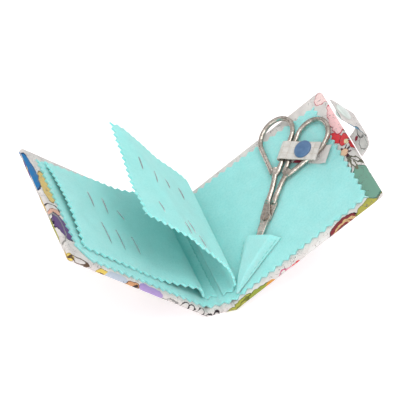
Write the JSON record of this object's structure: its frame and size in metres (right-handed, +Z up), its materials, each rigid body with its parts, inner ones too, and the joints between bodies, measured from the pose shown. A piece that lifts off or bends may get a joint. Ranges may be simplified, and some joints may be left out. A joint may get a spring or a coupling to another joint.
{
  "type": "needle case",
  "caption": "Open book-style needle case: cloth-covered boards on a soft spine, pinked felt lining and leaves with needles, pocketed scissors, snap straps.",
  "frame": {"origin": "middle of the spine's underside, on which the open case stands", "axes": "+X across the spine from the leaf side to the scissors side, +Y along the spine from front to back, +Z up"},
  "size_m": [0.1755, 0.089, 0.09],
  "materials": {
    "printed_cotton": "matt woven cotton with an all-over flower print",
    "plain_cotton": "matt woven cotton, doubled and top-stitched",
    "greyboard": "pressed paperboard",
    "felt": "soft turquoise wool felt, cut with pinking shears",
    "thread": "turquoise sewing thread",
    "nickel": "warm nickel plate, embossed and softly worn",
    "needle_steel": "polished needle steel",
    "pale_plastic": "smooth pale mint-white moulded plastic",
    "snap_plastic": "smooth slate-blue moulded plastic"
  },
  "bodies": {
    "spine": {"spine_cloth": "printed_cotton", "spine_board": "greyboard", "spine_lining": "felt", "page_binding": "felt", "binding_stitches": "thread"},
    "left_cover": {"left_cover_cloth": "printed_cotton", "left_board": "greyboard", "left_lining": "felt", "closure_stud": "pale_plastic", "closure_stud_rivet": "pale_plastic"},
    "left_leaf": {"left_page": "felt", "left_needles": "needle_steel"},
    "right_leaf": {"right_page": "felt", "right_needles": "needle_steel"},
    "right_cover": {"right_cover_cloth": "printed_cotton", "right_board": "greyboard", "right_lining": "felt", "scissors_pocket": "felt", "pocket_stitches": "thread", "strap_base": "plain_cotton", "strap_snap_stud": "snap_plastic"},
    "ring_strap": {"strap_flap": "plain_cotton", "strap_snap_cap": "snap_plastic", "strap_snap_socket": "snap_plastic"},
    "scissors": {"scissors_lower_half": "nickel", "scissors_screw": "nickel"},
    "scissors_half": {"scissors_upper_half": "nickel"},
    "closure": {"closure_strap": "printed_cotton", "closure_snap_cap": "pale_plastic", "closure_snap_socket": "pale_plastic"}
  },
  "joints": [
    {"name": "left_cover_hinge", "type": "hinge", "parent": "spine", "child": "left_cover", "pos_m": [-0.0083, 0, 0.0004], "axis": [0, 1, 0], "range_deg": [-38.6, 47.6], "deforming": ["right_page", "right_needles"]},
    {"name": "right_cover_hinge", "type": "hinge", "parent": "spine", "child": "right_cover", "pos_m": [0.0083, 0, 0.0004], "axis": [0, -1, 0], "range_deg": [-36, 52], "deforming": ["right_page", "right_needles"]},
    {"name": "left_leaf_turn", "type": "hinge", "parent": "left_cover", "child": "left_leaf", "pos_m": [-0.00989, 0, 0.00779], "axis": [0, -1, 0], "range_deg": [-16, 0]},
    {"name": "right_leaf_turn", "type": "hinge", "parent": "spine", "child": "right_leaf", "pos_m": [0.0044, 0, 0.005], "axis": [0, 1, 0], "range_deg": [-12, 2], "deforming": ["right_page", "right_needles"]},
    {"name": "ring_strap_fold", "type": "hinge", "parent": "right_cover", "child": "ring_strap", "pos_m": [0.05753, 0.02132, 0.04253], "axis": [0.582, 0.6947, 0.4228], "range_deg": [-92, 0]},
    {"name": "scissors_slide", "type": "slide", "parent": "right_cover", "child": "scissors", "axis": [0.582, 0.6947, 0.4228], "range_m": [0, 0.001]},
    {"name": "scissors_pivot", "type": "hinge", "parent": "scissors", "child": "scissors_half", "pos_m": [0.03733, -0.0095, 0.0273], "axis": [-0.5878, 0, 0.809], "range_deg": [0, 0.95]},
    {"name": "closure_fold", "type": "hinge", "parent": "right_cover", "child": "closure", "pos_m": [0.08833, -0.0045, 0.06003], "axis": [0, -1, 0], "range_deg": [-40, 15]}
  ]
}
